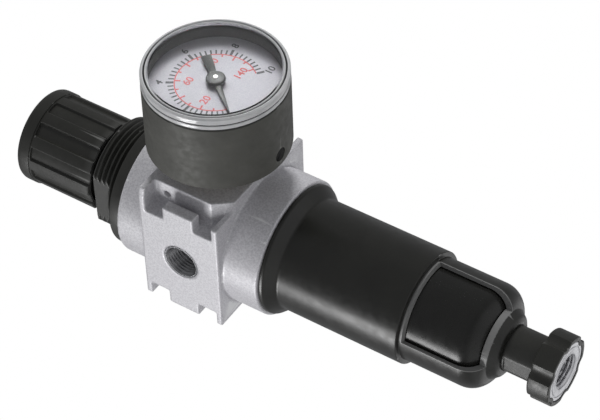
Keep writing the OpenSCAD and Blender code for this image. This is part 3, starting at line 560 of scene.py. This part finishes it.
def coil_mesh(name, radius, wire, turns, low, high, steps=48, sides=14):
    """A wire wound between two heights, its first and last turns lying flat."""
    bm = bmesh.new()
    count = round(turns * steps)
    flat = 0.75 * steps
    rings = []
    for i in range(count + 1):
        share = min(max(i - flat, 0), count - 2 * flat) / (count - 2 * flat)
        height = low + wire / 2 + (high - low - wire) * share
        turn = TURN * i / steps
        ring = []
        for j in range(sides):
            around = TURN * j / sides
            r = radius + wire / 2 * math.cos(around)
            z = height + wire / 2 * math.sin(around)
            ring.append(bm.verts.new((r * math.cos(turn), r * math.sin(turn), z)))
        rings.append(ring)
    for a, b in zip(rings, rings[1:]):
        for j in range(sides):
            k = (j + 1) % sides
            bm.faces.new((a[j], a[k], b[k], b[j]))
    bm.faces.new(rings[0])
    bm.faces.new(rings[-1])
    return to_mesh(name, bm)


def spring(node, radius, wire, turns):
    """A spring wound between the low and high ends of its node, fixed where it stands."""
    low, high, _ = along_z(node)
    mesh = coil_mesh(node + "_coil", radius, wire, turns, low, high)
    piece = dressed(node + "_coil", mesh, SPRING, [node], sharp=60)
    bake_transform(piece)


def springs():
    spring("control_spring", radius=6.9, wire=2.0, turns=5.5)
    spring("valve_spring", radius=3.4, wire=0.8, turns=4.5)


# ---- bowl, guard and drain ----

def arc_points(centre, radius, start, end, steps=12):
    """Points of an arc, with angles in degrees."""
    angles = [math.radians(start + (end - start) * i / steps) for i in range(steps + 1)]
    return [(centre[0] + radius * math.cos(a), centre[1] + radius * math.sin(a)) for a in angles]


def sector_mesh(name, outline, start, sweep, steps=40):
    """A block turned from an outline through part of a circle."""
    bm = bmesh.new()
    rings = []
    for i in range(steps + 1):
        angle = start + sweep * i / steps
        rings.append([bm.verts.new((r * math.cos(angle), r * math.sin(angle), z)) for r, z in outline])
    for a, b in zip(rings, rings[1:]):
        for k in range(len(outline)):
            n = (k + 1) % len(outline)
            bm.faces.new((a[k], a[n], b[n], b[k]))
    bm.faces.new(rings[0])
    bm.faces.new(rings[-1])
    return to_mesh(name, bm)


WINDOW_TURN = math.radians(34)
WINDOW_ANGLE = math.radians(105)
WINDOW_TOP = -87.1
GUARD_BORE_R = 13.1
DISC_R = 9.73
BOWL_FLANGE_LOW = -44.5


def guard_windows(low):
    """The two blocks that cut the guard's windows."""
    outside = 17
    outline = [(DISC_R, WINDOW_TOP - 2.4), (GUARD_BORE_R, WINDOW_TOP - 1.2), (outside, WINDOW_TOP + 0.4),
               (outside, low - 1), (DISC_R, low - 1)]
    start = -TURN / 4 - WINDOW_TURN - WINDOW_ANGLE / 2
    return [sector_mesh("window_cut", outline, start + flip, WINDOW_ANGLE) for flip in (0, math.pi)]


def bowl_guard():
    """The bowl guard, cut by two windows between its ribs."""
    low, high, collar_r = along_z("bowl_guard")
    _, _, bowl_flange_r = along_z("inner_bowl")
    bore_r, guard_r, rib_r, rib_round, edge, bore_round = GUARD_BORE_R, 15.5, 14.15, 6.2, -109.6, 5.8
    shoulder_r, collar_low, taper_low, seat_r = 16.5, -48.6, -51.5, bowl_flange_r + 0.2
    body_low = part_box("body")[0].z / MM
    hole_r = along_z("drain_neck")[2] + 0.06
    rib_top, floor = -87.0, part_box("inner_bowl")[0].z / MM - 0.3
    rib_turn = math.degrees(math.acos((DISC_R - rib_r + rib_round) / rib_round))
    rib_bottom = edge + rib_round * math.sin(math.radians(rib_turn))
    # The spare rings along the long faces keep the lighter band, partly wear and partly a painted
    # highlight, close to the edges
    outline = rounded([
        (bore_r, BOWL_FLANGE_LOW), (seat_r, BOWL_FLANGE_LOW), (seat_r, high), (shoulder_r, high),
        (shoulder_r, body_low - 0.1, 0.1), (collar_r, body_low - 0.1, 0.35), (collar_r, collar_low, 2.2),
        (guard_r, taper_low, 1.2), (guard_r, -53.5), (guard_r, -64), (guard_r, -75),
        (guard_r, rib_top + 2.4), (guard_r, rib_top + 1.2), (guard_r, rib_top, 0.35),
        (rib_r, rib_top - 0.15, 0.25), (rib_r, -88), (rib_r, -90), (rib_r, -95), (rib_r, -100)])
    outline += arc_points((rib_r - rib_round, rib_bottom), rib_round, 0, -rib_turn)
    outline += rounded([(9.5, edge - 0.2), (9.0, edge - 0.85), (8.4, edge - 1.6), (7.6, low + 0.3),
                        (7.0, low, 0.3), (hole_r, low, 0.2), (hole_r, floor), (7.6, floor)], closed=False)
    outline += arc_points((bore_r - bore_round, floor + bore_round), bore_round, -85, 0)
    mesh = lathe_mesh("bowl_guard_shell", outline, segments=224)
    cut = carved(mesh, guard_windows(low))
    soft = evaluated(cut, [("BEVEL", {"width": 0.2, "segments": 2, "limit_method": "ANGLE",
                                      "angle_limit": math.radians(50)})])
    even = even_normals(soft, sharp=40)
    finish_mesh("bowl_guard_shell", even, GUARD, "bowl", ["bowl_guard"], sharp=0)


def inner_bowl():
    """The bowl that shows through the guard's windows."""
    low, high, flange_r = along_z("inner_bowl")
    wall_r, bore_r, corner, wall_t = 12.8, 11.2, 5.5, 1.6
    lip_r, groove_r, groove_top, groove_low = 13.7, 12.2, -39.05, -40.95
    flange_top, middle, neck_hole_r = -42, -90, 4.05
    outline = rounded([
        (bore_r, high, 0.3), (lip_r, high, 0.3), (lip_r, groove_top), (groove_r, groove_top),
        (groove_r, groove_low), (lip_r, groove_low), (lip_r, flange_top), (flange_r, flange_top, 0.3),
        (flange_r, BOWL_FLANGE_LOW), (wall_r, BOWL_FLANGE_LOW), (wall_r, middle)])
    outline += arc_points((wall_r - corner, low + corner), corner, 0, -90)
    outline += [(neck_hole_r, low), (neck_hole_r, low + wall_t)]
    outline += arc_points((wall_r - corner, low + corner), corner - wall_t, -90, 0)
    outline += [(bore_r, middle)]
    mesh = lathe_mesh("inner_bowl_shell", outline, segments=192)
    finish_mesh("inner_bowl_shell", mesh, BOWL, "bowl", ["inner_bowl"])


def drain_neck():
    """The drain's neck under the bowl, with two flats."""
    low, high, radius = along_z("drain_neck")
    flat, shoulder, facet_top = 5.7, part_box("inner_bowl")[0].z / MM, -112.6
    spigot_r, orifice_r, cavity_r, cavity_top, thread_r, thread_top = 4.0, 1.2, 3.1, -104, 4.1, -112

    def facets(r, height, angle):
        side = abs(math.cos(angle))
        if r < radius - 0.6 or height > facet_top or side < 0.1:
            return r
        return min(r, flat / side)

    outline = rounded([
        (orifice_r, high), (spigot_r, high, 0.3), (spigot_r, shoulder), (radius, shoulder),
        (radius, facet_top + 0.1), (radius, facet_top - 0.1), (radius, low, 0.35), (thread_r, low),
        (thread_r, thread_top), (cavity_r, thread_top), (cavity_r, cavity_top), (orifice_r, cavity_top)])
    mesh = lathe_mesh("drain_neck_tube", outline, segments=160, shape=facets)
    finish_mesh("drain_neck_tube", mesh, BONNET, "bowl", ["drain_neck"], sharp=30)


LOBES = 6
INSERT_LEDGE = -125.2


def drain_knob():
    """The drain's thumb knob, with hollows round its rim."""
    low, high, _ = along_z("drain_knob")
    outer, rim_top, sleeve_r, bore_r, insert_top = 9.4, -120.8, 4.03, 1.87, -121.6
    valley_r, valley, recess_r, well_r = 3.0, 0.85, 8.15, 5.95

    def lobes(r, height, angle):
        if r < outer - 1.3 or height > rim_top + 0.01:
            return r
        pitch = TURN / LOBES
        offset = abs(angle % pitch - pitch / 2)
        centre = outer + valley_r - valley
        inside = valley_r ** 2 - (centre * math.sin(offset)) ** 2
        if inside <= 0:
            return r
        return r - max(0.0, outer - (centre * math.cos(offset) - math.sqrt(inside)))

    outline = rounded([
        (bore_r, high), (sleeve_r, high, 0.2), (sleeve_r, rim_top), (outer, rim_top, 0.7), (outer, -122.5),
        (outer, -125.5), (outer, low, 0.35), (recess_r, low, 0.12), (recess_r, INSERT_LEDGE),
        (well_r, INSERT_LEDGE), (well_r, insert_top), (bore_r, insert_top)])
    mesh = lathe_mesh("drain_thumb_knob", outline, segments=240, shape=lobes)
    finish_mesh("drain_thumb_knob", mesh, KNOB, "drain_grip", ["drain_knob"], sharp=34)


def drain_insert():
    """The threaded metal insert in the drain knob."""
    low, high, flange_r = along_z("drain_insert")
    root_r, crest_r, stem_r, edge = PORT_THREAD_R, PORT_CREST_R, 5.9, 0.25

    def groove(r, height, angle):
        if abs(r - crest_r) > 0.01:
            return r
        phase = (height / THREAD_PITCH - angle / TURN) % 1
        mouth = 1 - smoothstep(low, low + 0.9, height)
        return crest_r + (root_r - crest_r) * max(abs(phase * 2 - 1), mouth)

    rows = 52
    wall = [(crest_r, high - (high - low) * i / rows) for i in range(rows + 1)]
    # A chamfer round the thread, and one turned groove in the face
    face = [(5.3, low + 0.25), (5.7, low + 0.05), (6.6, low), (6.75, low + 0.18), (6.95, low + 0.18),
            (7.1, low)]
    flange = [(flange_r - edge, low), (flange_r, low + edge), (flange_r, INSERT_LEDGE),
              (stem_r, INSERT_LEDGE)]
    outline = wall + face + flange + [(stem_r, high)]
    mesh = lathe_mesh("drain_insert_turned", outline, segments=128, shape=groove)
    finish_mesh("drain_insert_turned", mesh, INSERT, "drain_grip", ["drain_insert"],
                sharp=35)


# ---- gauge ----

def gauge_case():
    """The gauge's case, with a round vent in its side."""
    back, front, radius = along_gauge("gauge_case")
    bore, mouth, ledge, floor, neck, vent = 16.6, 17.6, 45.9, back + 1.6, 5.05, 32
    outline = rounded([
        (neck, back), (12.5, back, 0.2), (13.0, back + 0.25, 0.2), (radius - 0.7, back + 0.25, 0.2),
        (radius, back + 0.95, 0.25), (radius, vent - 2.8), (radius, vent), (radius, vent + 2.8),
        (radius, vent + 8), (radius, front, 0.3), (mouth, front, 0.15), (mouth, ledge), (bore, ledge),
        (bore, floor), (neck, floor)])
    mesh = lathe_mesh("gauge_case_moulding", outline, segments=224)
    hole = lathe_mesh("vent_cut", [(0, 0), (2.0, 0), (2.0, 6), (0, 6)], closed=False, segments=48,
                      place=Matrix.Translation((0, -radius + 3, vent)) @ Matrix.Rotation(TURN / 4, 4, "X"))
    cut = carved(mesh, [hole])
    cut.transform(GAUGE)
    even = even_normals(cut, sharp=32)
    finish_mesh("gauge_case_moulding", even, CASE, "root", ["gauge_case"], sharp=0)


def lens_rings(name, outlines):
    """Some rings of the lens's rim, as one mesh."""
    return join_meshes(name, [lathe_mesh("ring", rounded(outline), segments=192, place=GAUGE)
                              for outline in outlines])


def gauge_lens():
    """The clear window, and its moulded rim drawn as pale rings in a painted glow, with dark rings between
    them that are painted shade and a dark seam at the case.
    """
    low, front, radius = along_gauge("gauge_lens")
    inside, back, clear_r, liner_r, edge = 50.3, 48.45, 17.1, 17.45, radius - 0.05
    inner_r, outer_r, split_low, split_high = 17.6, 18.05, back + 1.5, back + 1.9
    foot_r, split_r, top = edge - 0.12, edge - 0.25, front - 0.05

    outline = [(0, inside), (clear_r, inside), (clear_r, front - 0.35), (clear_r - 0.3, top), (0, top)]
    mesh = lathe_mesh("gauge_lens_clear", outline, closed=False, segments=192, place=GAUGE)
    finish_mesh("gauge_lens_clear", mesh, LENS, "root", ["gauge_lens"])

    # Dark rings: painted shade of the case's inner wall round the window, a painted dark line between the
    # pale rings, and the dark seam at the case
    liner = [(clear_r - 0.2, low), (liner_r, low), (liner_r, inside - 0.02), (clear_r - 0.2, inside - 0.02)]
    shade_line = [(inner_r, back + 0.3), (outer_r, back + 0.3), (outer_r, split_low), (split_r, split_low),
           (split_r, split_high), (outer_r, split_high), (outer_r, front - 0.5), (inner_r, front - 0.5)]
    foot = [(liner_r, back - 0.02), (foot_r, back - 0.02), (foot_r, back + 0.4), (liner_r, back + 0.4)]
    dark = lens_rings("gauge_lens_shade_and_seam", (liner, shade_line, foot))
    finish_mesh("gauge_lens_shade_and_seam", dark, SHADE_AND_SEAM, "root")

    # Pale rings: a painted glow for the light caught in the clear rim
    inner = [(clear_r + 0.02, inside), (inner_r, inside), (inner_r, front, 0.15),
             (clear_r + 0.02, front - 0.3, 0.1)]
    outer = [(outer_r, split_high), (edge, split_high, 0.15), (edge, front - 0.5, 0.5),
             (18.3, front - 0.02, 0.2), (outer_r, front - 0.15, 0.05)]
    lower = [(outer_r, back + 0.4), (edge, back + 0.4, 0.15), (edge, split_low, 0.15), (outer_r, split_low)]
    pale = lens_rings("gauge_lens_rim", (inner, outer, lower))
    finish_mesh("gauge_lens_rim", pale, RIM, "root")


SCALE_START = math.radians(230)
SCALE_SWEEP = math.radians(270)
SCALE_R = 10.6
DIVISIONS = 40
RED_TOP = 145
INK_THICKNESS = 0.03


def polar(radius, fraction):
    """A point on the dial at a share of the scale, which runs clockwise."""
    angle = SCALE_START - SCALE_SWEEP * fraction
    return radius * math.cos(angle), radius * math.sin(angle)


def dial_tick(height, inner, outer, width, fraction):
    """A line across the scale, at a share of its length."""
    x, y = polar(1, fraction)
    across = Vector((-y, x)) * width / 2
    low, high = Vector((x, y)) * inner, Vector((x, y)) * outer
    outline = [low - across, high - across, high + across, low + across]
    return prism_mesh("tick", [(p.x, p.y) for p in outline], height, height + INK_THICKNESS, GAUGE)


def dial_arc(height, inner, outer, steps=90):
    """A band along the whole scale."""
    points = [polar(inner, i / steps) for i in range(steps + 1)]
    points += [polar(outer, 1 - i / steps) for i in range(steps + 1)]
    return prism_mesh("arc", points, height, height + INK_THICKNESS, GAUGE)


def dial_number(text, size, x, y, height):
    """A number as a thin mesh, centred on a point of the dial."""
    half_thick, bolder = 0.015, 0.05
    curve = bpy.data.curves.new("number", "FONT")
    curve.body = text
    curve.size = size
    curve.align_x = "CENTER"
    curve.align_y = "CENTER"
    curve.extrude = half_thick
    curve.offset = bolder
    curve.resolution_u = 4
    holder = placed("number", curve)
    graph = bpy.context.evaluated_depsgraph_get()
    mesh = bpy.data.meshes.new_from_object(holder.evaluated_get(graph))
    bpy.data.objects.remove(holder)
    mesh.transform(GAUGE @ Matrix.Translation((x, y, height + half_thick)))
    return mesh


def gauge_dial():
    """The dial's card, with a black scale outside and a red one inside."""
    back, front, radius = along_gauge("gauge_dial")
    outline = rounded([(1.4, back), (radius, back), (radius, front, 0.15), (1.4, front)])
    mesh = lathe_mesh("dial_face", outline, segments=160, place=GAUGE)
    finish_mesh("dial_face", mesh, DIAL, "root", ["gauge_dial"])

    black = []
    for i in range(DIVISIONS + 1):
        reach, width = (2.0, 0.7) if i % 8 == 0 else (1.5, 0.44)
        black.append(dial_tick(front, SCALE_R, SCALE_R + reach, width, i / DIVISIONS))
    for i in range(6):
        black.append(dial_number(str(2 * i), 2.8, *polar(14.2, i / 5), front))
    ink = join_meshes("dial_black_marks", black)
    finish_mesh("dial_black_marks", ink, INK_BLACK, "root")

    red = [dial_arc(front, SCALE_R - 0.35, SCALE_R - 0.05)]
    for value in range(0, RED_TOP, 10):
        reach = 1.5 if value % 20 == 0 else 0.9
        red.append(dial_tick(front, SCALE_R - 0.2 - reach, SCALE_R - 0.2, 0.44, value / RED_TOP))
    for value in range(20, RED_TOP, 40):
        red.append(dial_number(str(value), 2.9, *polar(6.9, value / RED_TOP), front))
    ink = join_meshes("dial_red_marks", red)
    finish_mesh("dial_red_marks", ink, INK_RED, "root")


def gauge_pointer():
    """The pointer: a needle with a broad tail, and its hub."""
    back, front, _ = along_gauge("gauge_pointer")
    tip, tail = 12.3, 9.4
    spin = Matrix.Rotation(math.radians(-130), 4, "Z")
    half = [(tip, 0.18), (3.0, 0.8), (0, 1.0), (-3.0, 0.9), (-4.4, 1.1), (-tail + 0.4, 1.35), (-tail, 1.2)]
    outline = [(tip, -0.18)] + half + [(x, -y) for x, y in reversed(half[1:])]
    blade = prism_mesh("blade", outline, back, back + 0.4, GAUGE @ spin, bevel=0.06)
    outline = rounded([(0.6, back), (2.5, back, 0.15), (2.5, front, 0.45), (0.6, front)])
    hub = lathe_mesh("hub", outline, segments=96, place=GAUGE)
    mesh = join_meshes("pointer_needle", [blade, hub])
    finish_mesh("pointer_needle", mesh, NEEDLE, "pointer_set", ["gauge_pointer"])


# ---- plain materials for the CAD nodes that stay ----

NODE_MATERIALS = (
    (ZINC, ("adjusting_screw", "spring_seat_nut", "valve_pin", "filter_stud", "filter_nut", "drain_locknut",
            "drain_pin", "sector_arbor", "link", "pointer_arbor")),
    (BRASS, ("diaphragm_plate", "diaphragm_hub", "valve_seat", "valve_plug", "gauge_socket", "bourdon_tube",
             "movement_plates", "movement_pillars", "sector_gear")),
    (RUBBER, ("diaphragm", "valve_seal", "bowl_seal", "drain_seal", "gauge_seal")),
    (RESIN, ("baffle", "filter_retainer")),
    (PALE_RESIN, ("valve_guide",)),
    (FILTER, ("filter_element",)),
    (VENT, ("gauge_vent_plug",)),
)


def dress_nodes():
    """Gives each remaining CAD node its material."""
    for material, names in NODE_MATERIALS:
        for name in names:
            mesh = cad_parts[name].data
            mesh.materials.clear()
            mesh.materials.append(material)


# ---- camera, floor and light ----

def camera():
    """The photograph's viewpoint: below the gauge and the inlet, rolled so that the bowl points right."""
    data = bpy.data.cameras.new("camera")
    data.sensor_width = 36
    data.lens = 144.3
    data.clip_end = 10
    eye = placed("camera", data)
    right, up, back = (0.5481, 0.0240, -0.8361), (0.6060, -0.7004, 0.3771), (-0.5765, -0.7133, -0.3985)
    place = (-0.3534, -0.4522, -0.2932)
    eye.matrix_world = Matrix((*zip(right, up, back, place), (0, 0, 0, 1)))
    bpy.context.scene.camera = eye


def floor():
    """A pale floor, well below the part, which hangs from its panel neck."""
    size, level = 6.0, -0.62
    mesh = bpy.data.meshes.new("floor")
    corners = [(-size, -size, level), (size, -size, level), (size, size, level), (-size, size, level)]
    mesh.from_pydata(corners, [], [(0, 1, 2, 3)])
    n = Nodes("pale_floor")
    tone = n.mix(n.remap(n.noise(0.004, 2.0), 0, 1), (0.80, 0.80, 0.80), (0.84, 0.84, 0.84))
    n.link(tone, n.shader.inputs["Base Color"])
    n.shader.inputs["Roughness"].default_value = 0.7
    # Lifts the floor to a pale tone where it is seen, without throwing light up at the part
    path = n.add("ShaderNodeLightPath")
    lift = n.remap(path.outputs["Is Camera Ray"], 0.0, 0.5, 0.0, 1.0)
    n.shader.inputs["Emission Color"].default_value = (1, 1, 1, 1)
    n.link(lift, n.shader.inputs["Emission Strength"])
    mesh.materials.append(n.material)
    placed("floor", mesh)


def area_light(name, place, target, size, power, mirrored=True):
    """A round soft light. Glossy surfaces reflect it only if it is mirrored."""
    data = bpy.data.lights.new(name, "AREA")
    data.shape = "DISK"
    data.size = size
    data.energy = power
    light = placed(name, data)
    light.location = place
    light.rotation_euler = (Vector(target) - Vector(place)).to_track_quat("-Z", "Y").to_euler()
    light.visible_glossy = mirrored


def lights():
    """A top light, a side light on the inlet, soft fill all round, and a low light for bare metal."""
    world = bpy.data.worlds.new("studio")
    world.use_nodes = True
    tree = world.node_tree
    seen, around = tree.nodes["Background"], tree.nodes.new("ShaderNodeBackground")
    seen.inputs["Color"].default_value = (1, 1, 1, 1)
    seen.inputs["Strength"].default_value = 1.0
    around.inputs["Color"].default_value = (0.96, 0.97, 1.0, 1)
    around.inputs["Strength"].default_value = 0.29
    path, blend = tree.nodes.new("ShaderNodeLightPath"), tree.nodes.new("ShaderNodeMixShader")
    tree.links.new(path.outputs["Is Camera Ray"], blend.inputs["Fac"])
    tree.links.new(around.outputs["Background"], blend.inputs[1])
    tree.links.new(seen.outputs["Background"], blend.inputs[2])
    tree.links.new(blend.outputs["Shader"], tree.nodes["World Output"].inputs["Surface"])
    bpy.context.scene.world = world
    centre = (0, -0.015, -0.045)
    area_light("top", (0.46, -0.80, 0.30), centre, 0.25, 6.0, mirrored=False)
    area_light("side", (-0.78, 0.52, 0.12), centre, 0.45, 5.3)
    area_light("low", (0.42, 0.52, -0.42), centre, 0.80, 0.8)


body_casting()
port_threads()
bonnet()
knob()
springs()
bowl_guard()
inner_bowl()
drain_neck()
drain_knob()
drain_insert()
gauge_case()
gauge_lens()
gauge_dial()
gauge_pointer()
dress_nodes()
camera()
floor()
lights()
bpy.context.scene.view_settings.view_transform = "Standard"
